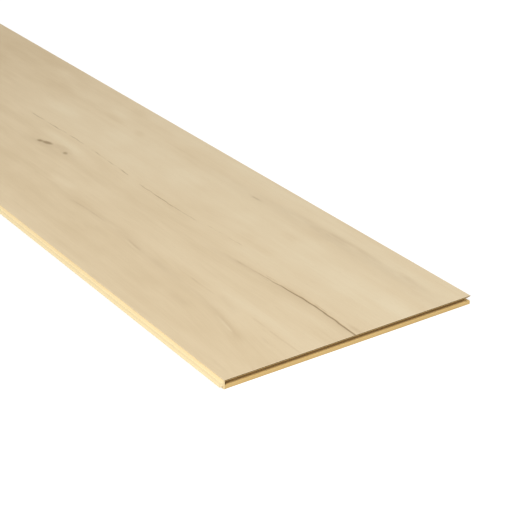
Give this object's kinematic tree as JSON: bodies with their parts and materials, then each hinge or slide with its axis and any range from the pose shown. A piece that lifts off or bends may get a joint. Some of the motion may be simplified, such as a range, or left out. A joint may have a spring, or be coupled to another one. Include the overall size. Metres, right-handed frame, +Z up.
{
  "type": "laminate floor plank",
  "caption": "Wide flat floor plank with a pale oak decor face, a tongue on one long edge and one end, and matching grooves opposite, laid loose as a floating floor.",
  "frame": {"origin": "on the underside, below the middle of the decor face; the tongues reach past that face and are not counted", "axes": "+X along the length towards the grooved end, +Y across the width towards the grooved long edge, +Z up out of the decor face"},
  "size_m": [1.3845, 0.2485, 0.008],
  "materials": {
    "laminate": "satin pale oak decor on top, raw fibreboard on the milled edges, plain backing paper below"
  },
  "bodies": {
    "root": {"plank": "laminate"}
  },
  "joints": []
}
